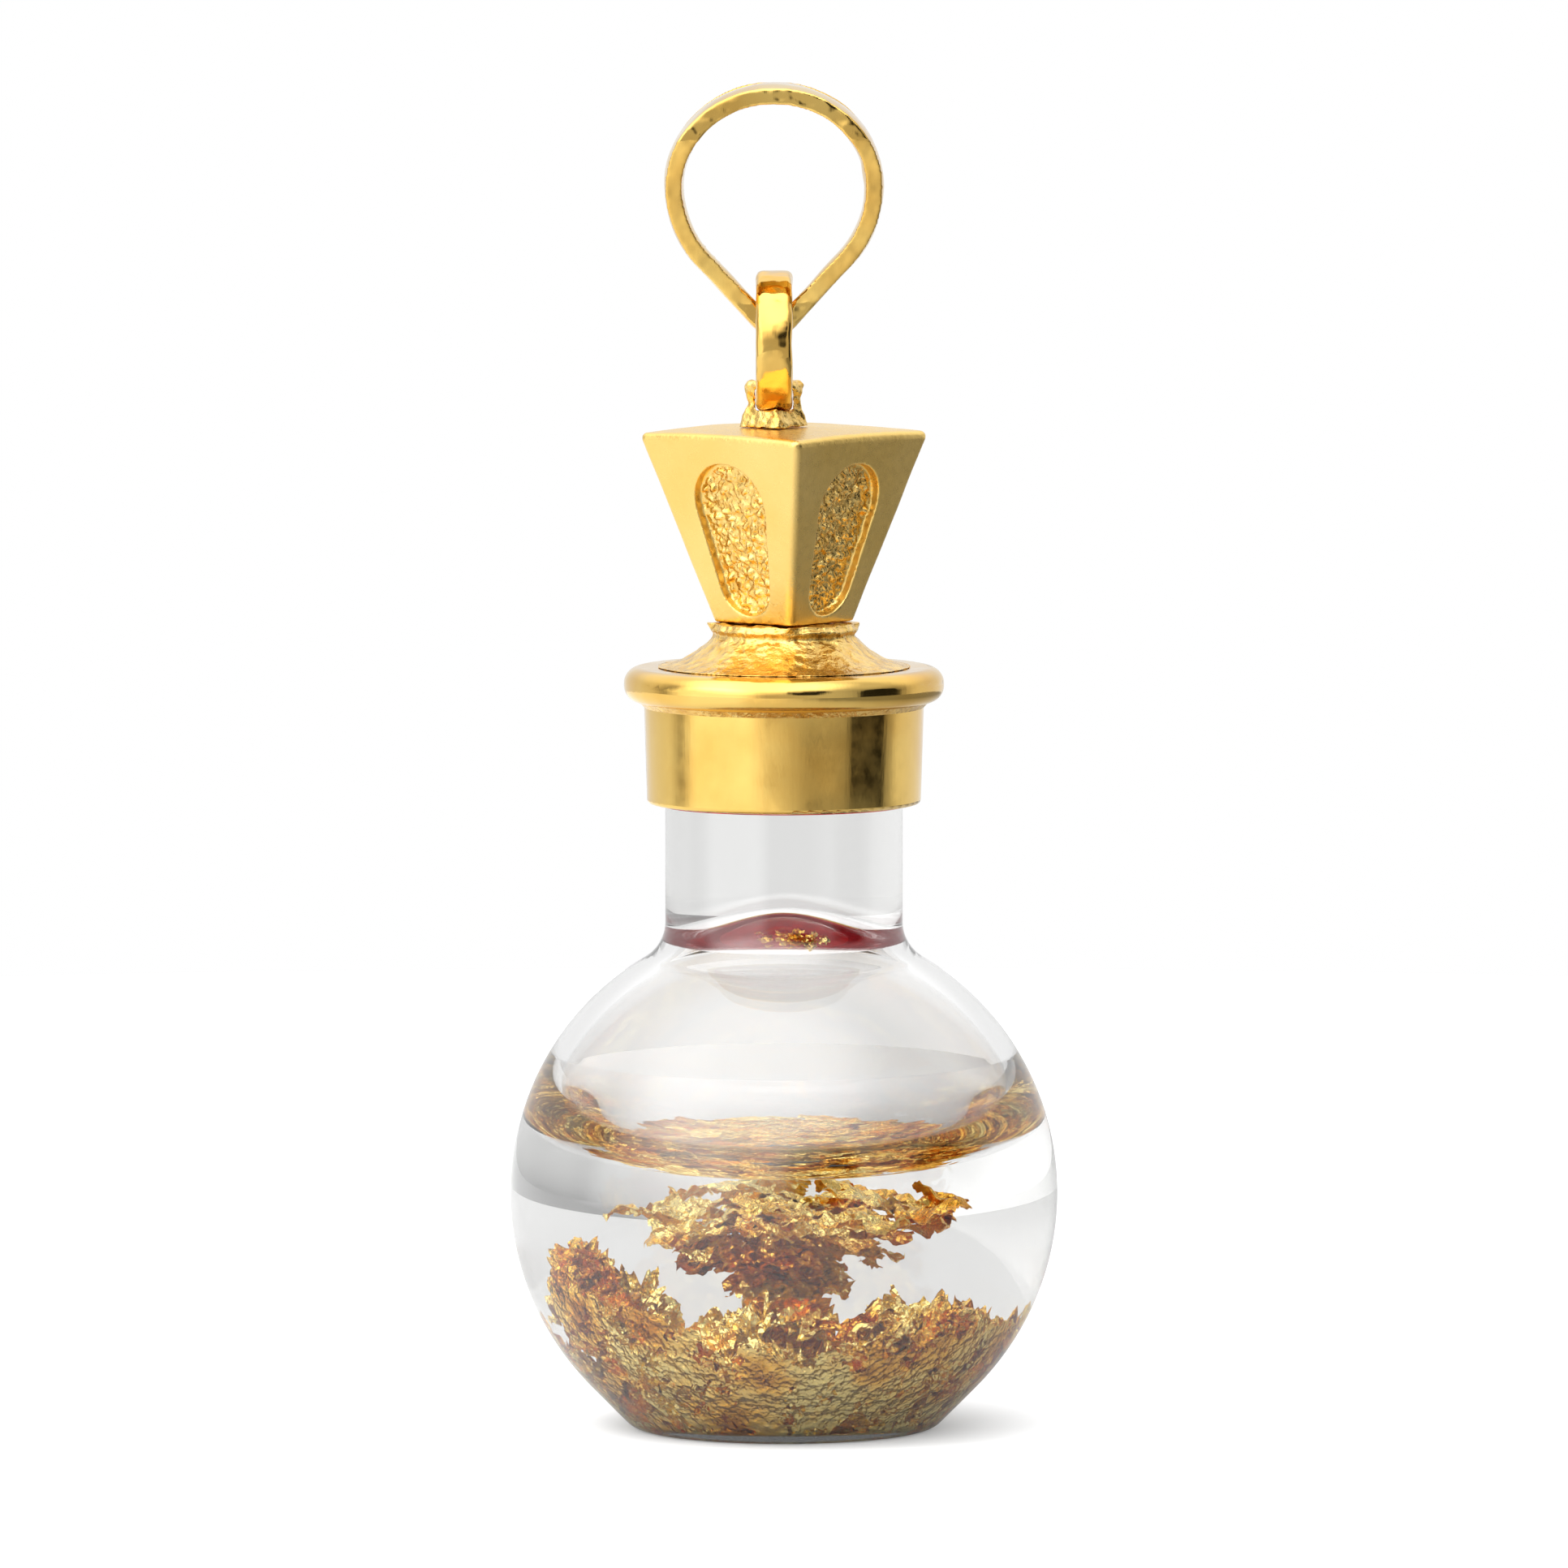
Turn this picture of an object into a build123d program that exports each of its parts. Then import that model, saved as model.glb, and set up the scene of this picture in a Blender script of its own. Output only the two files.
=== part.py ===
"""Gold-leaf bottle pendant: a sealed glass flask of liquid and gold leaf, with a gold cap and a bail.

Millimetres, +Z up. The origin is the centre of the flask's flat foot, on the surface it stands on.
"""

from build123d import *
from math import asin, atan2, cos, pi, radians, sin, sqrt, tan
import os

os.makedirs("parts", exist_ok=True)

# ---- flask -------------------------------------------------------------------------------------
GLOBE_RADIUS = 7.0
GLOBE_HEIGHT = 6.03  # centre of the globe above the foot
WALL = 0.5  # blown glass
FOOT_THICKNESS = 0.4
FOOT_SLOPE = 45.0  # the globe ends in a short cone at this angle from the vertical
FOOT_CORNER = 0.6
NECK_RADIUS = 3.03
NECK_TOP = 17.6
SHOULDER_RADIUS = 1.1  # concave curve between globe and neck
LIP_RADIUS = 0.18

# ---- liquid ------------------------------------------------------------------------------------
SURFACE_EDGE = 9.4  # height at which the liquid surface leaves the glass
SURFACE_DIP = 6.45  # height of its lowest point, on the axis
SURFACE_CURL = 2.4  # how far it follows the glass before it turns in
SURFACE_FLAT = 4.5  # how far its flat middle reaches
DOME_EDGE = 12.2  # the liquid held in the neck ends in a dome over the air bubble
DOME_TOP = 13.3
DOME_CURL = 0.6
DOME_FLAT = 1.5
CONTACT_ANGLE = 7.0  # between each surface and the wet glass

# ---- stopper and sealant -----------------------------------------------------------------------
PLUG_BOTTOM = 16.2
PLUG_HEAD_RADIUS = 3.1
DIMPLE_RADIUS = 0.85
DIMPLE_WIRE = 0.14
SEALANT_BOTTOM = 15.98

# ---- cap ---------------------------------------------------------------------------------------
COLLAR_BOTTOM = 16.02
COLLAR_TOP = 18.62
COLLAR_INSIDE = 3.2
COLLAR_FOOT_RADIUS = 3.49
COLLAR_HEAD_RADIUS = 3.57
COLLAR_RIM = 0.11
FLANGE_RADIUS = 4.08
FLANGE_TOP = 19.5
FLANGE_RIM = 0.4
SEAM_HEIGHT = 0.14
SEAM_WIDTH = 0.13

# ---- pedestal and finial -----------------------------------------------------------------------
PEDESTAL_RADIUS = 3.5
PEDESTAL_MID_RADIUS = 2.42
PEDESTAL_MID_HEIGHT = 19.8
DRUM_RADIUS = 1.83
DRUM_BOTTOM = 20.3
DRUM_TOP = 20.66
BEAD_RADIUS = 0.09
BEAD_HEIGHT = 20.47
LUG_RADIUS = 0.3
FINIAL_TOP = 25.5
FINIAL_FOOT_SIDE = 2.6
FINIAL_HEAD_SIDE = 5.35
FINIAL_TURN = 50.0  # one corner faces the front, a little to the right
FINIAL_EDGE = 0.2
FINIAL_TOP_EDGE = 0.15
FINIAL_CROWN = 0.13  # rise of the slightly domed top
PANEL_DEPTH = 0.26
PANEL_HEAD_RADIUS = 1.12
PANEL_FOOT_RADIUS = 0.8
PANEL_HEAD_HEIGHT = 23.7
PANEL_FOOT_HEIGHT = 21.65

# ---- loop and bail -----------------------------------------------------------------------------
LOOP_X = -0.25  # the loop is soldered a little off the axis
LOOP_HEIGHT = 27.82  # centre of the ring, the bail's hinge
LOOP_RADIUS = 1.8
LOOP_WIRE = 0.55  # radial thickness
LOOP_WIDTH = 0.95
LOOP_EDGE = 0.17
BOSS_TOP = 26.84
BOSS_FOOT_SIDE = 1.5
BOSS_WAIST_SIDE = 1.08
BOSS_HEAD_SIDE = 1.2
BOSS_WAIST_HEIGHT = 26.23
BOSS_CORNER = 0.15
BAIL_LEVEL = 31.8  # height at which the bail is widest
BAIL_HALF_WIDTH = 2.81
BAIL_CROWN = 2.6  # height of its elliptical top above that level
BAIL_SIDE_RADIUS = 3.03
BAIL_LEG_ANGLE = 43.0  # from the vertical
BAIL_STRIP = 0.52
BAIL_FOOT_ROUND = 0.75
BAIL_TOP_DEPTH = 3.4  # width of the strip, front to back, at the top
BAIL_FOOT_DEPTH = 0.84
BAIL_TAPER_START = 28.8
BAIL_TAPER_END = 33.0

# ---- gold leaf ---------------------------------------------------------------------------------
LEAF_THICKNESS = 0.06
LEAF_GAP = 0.06  # clear of the glass
LEAF_TIP_X = 0.1
LEAF_TIP_REACH = 1.9
LEAF_TIP_HEIGHT = 13.05
CLOUD_RADIUS = 3.7  # room in the liquid where the drifting leaf swirls
CLOUD_BOTTOM = 4.55
CLOUD_TOP = 6.15
STEM_RADIUS = 1.15
STEM_BOTTOM = 2.95


def flask_points(inset, floor):
    """Tangent points of the flask's outline, moved inwards by inset, with its floor at floor."""
    globe = GLOBE_RADIUS - inset
    neck = NECK_RADIUS - inset
    shoulder = SHOULDER_RADIUS + inset
    corner = FOOT_CORNER - inset / 2
    slope = radians(FOOT_SLOPE)
    cone_top = (globe * cos(slope), GLOBE_HEIGHT - globe * sin(slope))
    cone_foot = cone_top[0] - (cone_top[1] - floor) * tan(slope)
    run = corner * tan((pi / 2 - slope) / 2)
    shoulder_height = GLOBE_HEIGHT + sqrt((globe + shoulder) ** 2 - (neck + shoulder) ** 2)
    lean = atan2(shoulder_height - GLOBE_HEIGHT, neck + shoulder)
    return {
        "globe": globe,
        "neck": neck,
        "foot_end": (cone_foot - run, floor),
        "cone_foot": (cone_foot + run * sin(slope), floor + run * cos(slope)),
        "cone_top": cone_top,
        "shoulder_foot": (globe * cos(lean), GLOBE_HEIGHT + globe * sin(lean)),
        "shoulder_top": (neck, shoulder_height),
        "shoulder_mid": (
            neck + shoulder - shoulder * cos(lean / 2),
            shoulder_height - shoulder * sin(lean / 2),
        ),
    }


def draw_lower_wall(points):
    """The foot, the corner and the short cone, drawn from the axis upwards."""
    Line((0, points["foot_end"][1]), points["foot_end"])
    middle_tangent = TangentArc(points["foot_end"], points["cone_foot"], tangent=(1, 0))
    Line(middle_tangent @ 1, points["cone_top"])


def draw_upper_wall(points, top):
    """The globe above the cone, the concave shoulder and the neck."""
    ThreePointArc(points["cone_top"], (points["globe"], GLOBE_HEIGHT), points["shoulder_foot"])
    ThreePointArc(points["shoulder_foot"], points["shoulder_mid"], points["shoulder_top"])
    Line(points["shoulder_top"], (points["neck"], top))


def save(builder, name):
    """Labels a finished sub-part and writes its STEP file."""
    builder.part.label = name
    export_step(builder.part, f"parts/{name}.step")


outside = flask_points(0, 0)
inside = flask_points(WALL, FOOT_THICKNESS)

# ---- flask: one shell of blown glass, open at the top of the neck --------------------------------
with BuildPart() as flask:
    with BuildSketch(Plane.XZ):
        with BuildLine():
            draw_lower_wall(outside)
            draw_upper_wall(outside, NECK_TOP)
            Line((outside["neck"], NECK_TOP), (0, NECK_TOP))
            Line((0, NECK_TOP), (0, 0))
        make_face()
        with BuildLine():
            draw_lower_wall(inside)
            draw_upper_wall(inside, NECK_TOP)
            Line((inside["neck"], NECK_TOP), (0, NECK_TOP))
            Line((0, NECK_TOP), (0, FOOT_THICKNESS))
        make_face(mode=Mode.SUBTRACT)
    revolve(axis=Axis.Z)
    fillet(flask.edges().group_by(Axis.Z)[-1], LIP_RADIUS)
save(flask, "flask")

# ---- stopper: a rubber plug with a moulded ring in its underside ----------------------------------
with BuildPart() as stopper:
    with BuildSketch(Plane.XY.offset(PLUG_BOTTOM)):
        Circle(inside["neck"])
    extrude(amount=NECK_TOP - PLUG_BOTTOM)
    with BuildSketch(Plane.XY.offset(NECK_TOP)):
        Circle(PLUG_HEAD_RADIUS)
    extrude(amount=COLLAR_TOP - NECK_TOP)
    with BuildSketch(Plane.XZ):
        with Locations((DIMPLE_RADIUS, PLUG_BOTTOM)):
            Circle(DIMPLE_WIRE)
    revolve(axis=Axis.Z, mode=Mode.SUBTRACT)
save(stopper, "stopper")

# ---- sealant: red compound between neck and collar, just showing under the collar's rim -----------
with BuildPart() as sealant:
    with BuildSketch(Plane.XY.offset(SEALANT_BOTTOM)):
        Circle(COLLAR_INSIDE)
        Circle(NECK_RADIUS, mode=Mode.SUBTRACT)
    extrude(amount=NECK_TOP - SEALANT_BOTTOM)
save(sealant, "sealant")

# ---- collar: a slightly tapered tube over the neck -----------------------------------------------
with BuildPart() as collar:
    with BuildSketch(Plane.XZ):
        with BuildLine():
            Polyline(
                (COLLAR_INSIDE, COLLAR_BOTTOM),
                (COLLAR_FOOT_RADIUS, COLLAR_BOTTOM),
                (COLLAR_HEAD_RADIUS, COLLAR_TOP),
                (COLLAR_INSIDE, COLLAR_TOP),
                close=True,
            )
        make_face()
    revolve(axis=Axis.Z)
    fillet(collar.edges().group_by(Axis.Z)[0], COLLAR_RIM)
save(collar, "collar")

# ---- flange: the solid disc that closes the cap, with a rounded rim --------------------------------
with BuildPart() as flange:
    with BuildSketch(Plane.XY.offset(COLLAR_TOP)):
        Circle(FLANGE_RADIUS)
    extrude(amount=FLANGE_TOP - COLLAR_TOP)
    fillet(flange.edges(), FLANGE_RIM)
save(flange, "flange")

# ---- collar seam: the fillet of solder in the corner under the flange ------------------------------
with BuildPart() as collar_seam:
    with BuildSketch(Plane.XZ):
        with BuildLine():
            Polyline(
                (COLLAR_HEAD_RADIUS, COLLAR_TOP),
                (COLLAR_HEAD_RADIUS, COLLAR_TOP - SEAM_HEIGHT),
                (COLLAR_HEAD_RADIUS + SEAM_WIDTH, COLLAR_TOP),
                close=True,
            )
        make_face()
    revolve(axis=Axis.Z)
save(collar_seam, "collar_seam")

# ---- pedestal: a concave foot, a beaded drum, and a lug under each corner of the finial ------------
with BuildPart() as pedestal:
    with BuildSketch(Plane.XZ):
        with BuildLine():
            Line((0, FLANGE_TOP), (PEDESTAL_RADIUS, FLANGE_TOP))
            ThreePointArc(
                (PEDESTAL_RADIUS, FLANGE_TOP),
                (PEDESTAL_MID_RADIUS, PEDESTAL_MID_HEIGHT),
                (DRUM_RADIUS, DRUM_BOTTOM),
            )
            Polyline((DRUM_RADIUS, DRUM_BOTTOM), (DRUM_RADIUS, DRUM_TOP), (0, DRUM_TOP), (0, FLANGE_TOP))
        make_face()
        with Locations((DRUM_RADIUS, BEAD_HEIGHT)):
            Circle(BEAD_RADIUS)
    revolve(axis=Axis.Z)
    with Locations(Plane.XY.offset(DRUM_TOP)):
        with PolarLocations(DRUM_RADIUS - LUG_RADIUS / 2, 4, start_angle=FINIAL_TURN + 45):
            Sphere(LUG_RADIUS)
    split(bisect_by=Plane.XY.offset(DRUM_TOP), keep=Keep.BOTTOM)
save(pedestal, "pedestal")

# ---- finial: a square block that widens upwards, with a sunk egg-shaped panel in each face ---------
crown_radius = ((FINIAL_HEAD_SIDE / sqrt(2)) ** 2 + FINIAL_CROWN**2) / (2 * FINIAL_CROWN)
face_lean = atan2((FINIAL_HEAD_SIDE - FINIAL_FOOT_SIDE) / 2, FINIAL_TOP - DRUM_TOP)


def finial_face(turn, height):
    """The plane of one side face, at a height on its centre line, with its y axis up the face."""
    reach = FINIAL_FOOT_SIDE / 2 + (height - DRUM_TOP) * tan(face_lean)
    outward = (cos(radians(turn)), sin(radians(turn)))
    return Plane(
        origin=(reach * outward[0], reach * outward[1], height),
        x_dir=(-outward[1], outward[0], 0),
        z_dir=(outward[0] * cos(face_lean), outward[1] * cos(face_lean), -sin(face_lean)),
    )


with BuildPart() as finial:
    with BuildSketch(Plane.XY.offset(DRUM_TOP).rotated((0, 0, FINIAL_TURN))):
        RectangleRounded(FINIAL_FOOT_SIDE, FINIAL_FOOT_SIDE, FINIAL_EDGE)
    crown_side = FINIAL_HEAD_SIDE + 2 * FINIAL_CROWN * tan(face_lean)
    with BuildSketch(Plane.XY.offset(FINIAL_TOP + FINIAL_CROWN).rotated((0, 0, FINIAL_TURN))):
        RectangleRounded(crown_side, crown_side, FINIAL_EDGE)
    loft(ruled=True)
    with Locations((0, 0, FINIAL_TOP + FINIAL_CROWN - crown_radius)):
        Sphere(crown_radius, mode=Mode.INTERSECT)
    fillet(finial.faces().sort_by(Axis.Z)[-1].edges(), FINIAL_TOP_EDGE)
    rise = (PANEL_HEAD_HEIGHT - PANEL_FOOT_HEIGHT) / cos(face_lean)
    for quarter in range(4):
        with BuildSketch(finial_face(FINIAL_TURN + 90 * quarter, PANEL_FOOT_HEIGHT)):
            Circle(PANEL_FOOT_RADIUS)
            with Locations((0, rise)):
                Circle(PANEL_HEAD_RADIUS)
            make_hull()
        extrude(amount=-PANEL_DEPTH, mode=Mode.SUBTRACT)
save(finial, "finial")

# ---- loop ring: stands edge-on on the finial, soldered into its boss --------------------------------
loop_plane = Plane(origin=(LOOP_X, 0, LOOP_HEIGHT), x_dir=(0, 1, 0), z_dir=(1, 0, 0))
with BuildPart() as loop_ring:
    with BuildSketch(loop_plane):
        Circle(LOOP_RADIUS)
        Circle(LOOP_RADIUS - LOOP_WIRE, mode=Mode.SUBTRACT)
    extrude(amount=LOOP_WIDTH / 2, both=True)
    fillet(loop_ring.edges().filter_by(GeomType.CIRCLE), LOOP_EDGE)
save(loop_ring, "loop_ring")

# ---- loop boss: a small square block with a narrow waist, flared on to the finial's crown -----------
with BuildPart() as loop_boss:
    sections = (
        (FINIAL_TOP - FINIAL_CROWN, BOSS_FOOT_SIDE),
        (BOSS_WAIST_HEIGHT, BOSS_WAIST_SIDE),
        (BOSS_TOP - BOSS_CORNER, BOSS_HEAD_SIDE),
        (BOSS_TOP, BOSS_HEAD_SIDE - BOSS_CORNER),
    )
    for height, side in sections:
        with BuildSketch(Plane(origin=(LOOP_X, 0, height)).rotated((0, 0, FINIAL_TURN))):
            RectangleRounded(side, side, BOSS_CORNER)
    loft(ruled=True)
    add(finial.part, mode=Mode.SUBTRACT)
    with BuildSketch(loop_plane):
        Circle(LOOP_RADIUS)
        Circle(LOOP_RADIUS - LOOP_WIRE, mode=Mode.SUBTRACT)
    extrude(amount=LOOP_WIDTH / 2, both=True, mode=Mode.SUBTRACT)
save(loop_boss, "loop_boss")

# ---- bail: a teardrop of flat strip, wide at the top and narrow where it passes through the ring ----


def draw_bail_outline(inset):
    """The teardrop seen from the front, moved inwards by inset."""
    half_width = BAIL_HALF_WIDTH - inset
    side_radius = BAIL_SIDE_RADIUS - inset
    foot_radius = BAIL_FOOT_ROUND - inset
    angle = radians(BAIL_LEG_ANGLE)
    leg_top = (half_width - side_radius * (1 - cos(angle)), BAIL_LEVEL - side_radius * sin(angle))
    side_mid = (
        half_width - side_radius * (1 - cos(angle / 2)),
        BAIL_LEVEL - side_radius * sin(angle / 2),
    )
    foot_centre = leg_top[1] - leg_top[0] / tan(angle) + foot_radius / sin(angle)
    leg_foot = (foot_radius * cos(angle), foot_centre - foot_radius * sin(angle))
    EllipticalCenterArc((0, BAIL_LEVEL), half_width, BAIL_CROWN - inset, start_angle=0, arc_size=180)
    for side in (1, -1):
        widest = (side * half_width, BAIL_LEVEL)
        leg_start = (side * leg_top[0], leg_top[1])
        ThreePointArc(widest, (side * side_mid[0], side_mid[1]), leg_start)
        Line(leg_start, (side * leg_foot[0], leg_foot[1]))
    ThreePointArc((leg_foot[0], leg_foot[1]), (0, foot_centre - foot_radius), (-leg_foot[0], leg_foot[1]))


with BuildPart() as bail:
    with BuildSketch(Plane(origin=(LOOP_X, 0, 0), x_dir=(1, 0, 0), z_dir=(0, -1, 0))):
        with BuildLine():
            draw_bail_outline(0)
        make_face()
        with BuildLine():
            draw_bail_outline(BAIL_STRIP)
        make_face(mode=Mode.SUBTRACT)
    extrude(amount=BAIL_TOP_DEPTH / 2, both=True)
    with BuildSketch(Plane.YZ):
        with BuildLine():
            low = BAIL_TAPER_START - BAIL_HALF_WIDTH
            high = BAIL_LEVEL + BAIL_CROWN + BAIL_STRIP
            Polyline(
                (BAIL_FOOT_DEPTH / 2, low),
                (BAIL_FOOT_DEPTH / 2, BAIL_TAPER_START),
                (BAIL_TOP_DEPTH / 2, BAIL_TAPER_END),
                (BAIL_TOP_DEPTH / 2, high),
                (-BAIL_TOP_DEPTH / 2, high),
                (-BAIL_TOP_DEPTH / 2, BAIL_TAPER_END),
                (-BAIL_FOOT_DEPTH / 2, BAIL_TAPER_START),
                (-BAIL_FOOT_DEPTH / 2, low),
                close=True,
            )
        make_face()
    extrude(amount=2 * BAIL_HALF_WIDTH, both=True, mode=Mode.INTERSECT)
save(bail, "bail")


# ---- gold leaf: clumps of thin crumpled flakes, kept inside the flask's inner wall ------------------


def leaf_flake(centre, radius, tilt, heading, phase):
    """One uneven six-sided flake, tilted from the horizontal towards its heading."""
    flake_plane = Plane(origin=centre).rotated((0, tilt, 0)).rotated((0, 0, heading))
    flake_plane = Plane(origin=centre, x_dir=flake_plane.x_dir, z_dir=flake_plane.z_dir)
    corners = []
    for corner in range(6):
        reach = radius * (0.85 + 0.2 * sin(2.4 * corner + phase))
        corners.append((reach * cos(radians(60 * corner)), reach * sin(radians(60 * corner))))
    with BuildSketch(flake_plane) as outline:
        Polygon(*corners, align=None)
    extrude(outline.sketch, amount=LEAF_THICKNESS / 2, both=True)


def leaf_ring(height, ring_radius, count, radius, tilt, first=0.0, sweep=360.0):
    """Flakes spaced along a circle about the axis, each tilted outwards."""
    for step in range(count):
        heading = first + sweep * step / count
        place = (ring_radius * cos(radians(heading)), ring_radius * sin(radians(heading)), height)
        leaf_flake(place, radius, tilt, heading, heading / 20)


room = flask_points(WALL + LEAF_GAP, FOOT_THICKNESS + LEAF_GAP)
with BuildPart() as leaf_room:
    with BuildSketch(Plane.XZ):
        with BuildLine():
            draw_lower_wall(room)
            draw_upper_wall(room, PLUG_BOTTOM)
            Polyline((room["neck"], PLUG_BOTTOM), (0, PLUG_BOTTOM), (0, FOOT_THICKNESS + LEAF_GAP))
        make_face()
    revolve(axis=Axis.Z)

with BuildPart() as leaf_bed:
    leaf_ring(0.62, 0.0, 1, 1.9, 0)
    leaf_ring(0.85, 2.4, 7, 1.3, -10)
    leaf_ring(1.45, 1.4, 5, 1.2, 14, first=30)
    leaf_ring(1.7, 3.6, 10, 1.3, -28)
    leaf_ring(2.15, 1.7, 5, 1.1, -16)
    leaf_ring(2.3, 3.9, 9, 1.3, -38, first=15)
    leaf_ring(2.6, 4.9, 12, 0.95, -58)
    add(leaf_room.part, mode=Mode.INTERSECT)
save(leaf_bed, "leaf_bed")

with BuildPart() as leaf_banks:
    leaf_ring(3.0, 4.6, 4, 1.15, -50, first=165, sweep=70)
    leaf_ring(3.9, 5.3, 3, 1.0, -70, first=172, sweep=50)
    leaf_ring(3.0, 4.4, 5, 1.05, -40, first=295, sweep=110)
    add(leaf_room.part, mode=Mode.INTERSECT)
    add(leaf_bed.part, mode=Mode.SUBTRACT)
save(leaf_banks, "leaf_banks")

# The drifting leaf hangs above the bed: a wide tattered cap of flakes on a narrow stem.
with BuildPart() as leaf_cloud:
    leaf_ring(5.75, 2.2, 6, 1.25, 8)
    leaf_ring(5.45, 1.3, 5, 1.2, -6, first=20)
    leaf_ring(5.05, 0.9, 4, 1.1, 12)
    leaf_ring(4.3, 0.35, 3, 0.75, 62)
    leaf_ring(3.65, 0.3, 3, 0.7, 68, first=60)
save(leaf_cloud, "leaf_cloud")

with BuildPart() as leaf_tip:
    leaf_flake((LEAF_TIP_X, -LEAF_TIP_REACH, LEAF_TIP_HEIGHT), 0.45, 24, -90, 1.0)
    leaf_flake((LEAF_TIP_X + 0.7, 0.1 - LEAF_TIP_REACH, LEAF_TIP_HEIGHT + 0.05), 0.4, 24, -70, 2.5)
save(leaf_tip, "leaf_tip")

# ---- liquid: the pool under the air bubble, with room for the drifting leaf ------------------------
surface_angle = asin((SURFACE_EDGE - GLOBE_HEIGHT) / inside["globe"])
surface_start = (inside["globe"] * cos(surface_angle), SURFACE_EDGE)
surface_way = surface_angle - pi / 2 - radians(CONTACT_ANGLE)
surface_turn = (
    surface_start[0] + SURFACE_CURL * cos(surface_way),
    surface_start[1] + SURFACE_CURL * sin(surface_way),
)
wall_mid = (
    inside["globe"] * cos(surface_angle / 2),
    GLOBE_HEIGHT + inside["globe"] * sin(surface_angle / 2),
)
with BuildPart() as liquid_pool:
    with BuildSketch(Plane.XZ):
        with BuildLine():
            draw_lower_wall(inside)
            ThreePointArc(inside["cone_top"], wall_mid, surface_start)
            Bezier(surface_start, surface_turn, (SURFACE_FLAT, SURFACE_DIP), (0, SURFACE_DIP))
            Line((0, SURFACE_DIP), (0, FOOT_THICKNESS))
        make_face()
    revolve(axis=Axis.Z)
    with BuildSketch(Plane.XY.offset(CLOUD_BOTTOM)):
        Circle(CLOUD_RADIUS)
    extrude(amount=CLOUD_TOP - CLOUD_BOTTOM, mode=Mode.SUBTRACT)
    with BuildSketch(Plane.XY.offset(STEM_BOTTOM)):
        Circle(STEM_RADIUS)
    extrude(amount=CLOUD_BOTTOM - STEM_BOTTOM, mode=Mode.SUBTRACT)
    add(leaf_bed.part, mode=Mode.SUBTRACT)
    add(leaf_banks.part, mode=Mode.SUBTRACT)
save(liquid_pool, "liquid_pool")

# ---- liquid held in the neck, ending in a dome over the bubble --------------------------------------
shoulder_drop = inside["shoulder_top"][1] - DOME_EDGE
inner_shoulder = SHOULDER_RADIUS + WALL
dome_angle = asin(shoulder_drop / inner_shoulder)


def shoulder_point(angle):
    """A point of the inner shoulder's curve, at an angle below its top."""
    reach = inside["neck"] + inner_shoulder * (1 - cos(angle))
    return (reach, inside["shoulder_top"][1] - inner_shoulder * sin(angle))


with BuildPart() as liquid_neck:
    with BuildSketch(Plane.XZ):
        with BuildLine():
            dome_edge = shoulder_point(dome_angle)
            dome_way = pi / 2 + dome_angle + radians(CONTACT_ANGLE)
            dome_turn = (dome_edge[0] + DOME_CURL * cos(dome_way), dome_edge[1] + DOME_CURL * sin(dome_way))
            Bezier((0, DOME_TOP), (DOME_FLAT, DOME_TOP), dome_turn, dome_edge)
            ThreePointArc(dome_edge, shoulder_point(dome_angle / 2), inside["shoulder_top"])
            Polyline(
                inside["shoulder_top"],
                (inside["neck"], PLUG_BOTTOM),
                (0, PLUG_BOTTOM),
                (0, DOME_TOP),
            )
        make_face()
    revolve(axis=Axis.Z)
    add(leaf_tip.part, mode=Mode.SUBTRACT)
save(liquid_neck, "liquid_neck")
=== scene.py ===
import bmesh
import bpy
import math
import numpy as np
from mathutils import Matrix, Vector, noise


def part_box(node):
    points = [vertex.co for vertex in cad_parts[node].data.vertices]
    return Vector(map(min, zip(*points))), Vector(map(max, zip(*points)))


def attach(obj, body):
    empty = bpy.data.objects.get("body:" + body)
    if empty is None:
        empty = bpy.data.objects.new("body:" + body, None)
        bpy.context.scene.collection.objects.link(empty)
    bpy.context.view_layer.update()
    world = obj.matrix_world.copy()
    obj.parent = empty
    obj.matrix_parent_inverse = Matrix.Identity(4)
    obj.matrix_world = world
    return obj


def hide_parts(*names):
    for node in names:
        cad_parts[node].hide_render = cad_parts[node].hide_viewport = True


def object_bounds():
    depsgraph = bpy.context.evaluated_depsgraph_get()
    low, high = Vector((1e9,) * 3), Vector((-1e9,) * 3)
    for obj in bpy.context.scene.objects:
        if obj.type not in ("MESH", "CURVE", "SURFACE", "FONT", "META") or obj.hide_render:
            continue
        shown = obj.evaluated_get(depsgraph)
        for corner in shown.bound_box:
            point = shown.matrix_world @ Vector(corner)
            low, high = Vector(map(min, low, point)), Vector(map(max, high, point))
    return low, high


# Gold-leaf bottle pendant: the visible meshes, materials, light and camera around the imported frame.
# Everything is in metres; the outlines are written in millimetres and scaled by MM.

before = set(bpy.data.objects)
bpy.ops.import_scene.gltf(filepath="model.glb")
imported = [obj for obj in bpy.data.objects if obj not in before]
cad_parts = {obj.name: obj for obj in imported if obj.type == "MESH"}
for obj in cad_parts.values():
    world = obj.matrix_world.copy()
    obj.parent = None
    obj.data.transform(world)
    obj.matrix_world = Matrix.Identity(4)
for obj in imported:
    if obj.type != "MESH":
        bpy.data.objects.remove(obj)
cad_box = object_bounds()

MM = 0.001
ROOT = "vial"
scene = bpy.context.scene


# ---- the flask's outline, worked out from the same few sizes as the frame --------------------------

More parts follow.
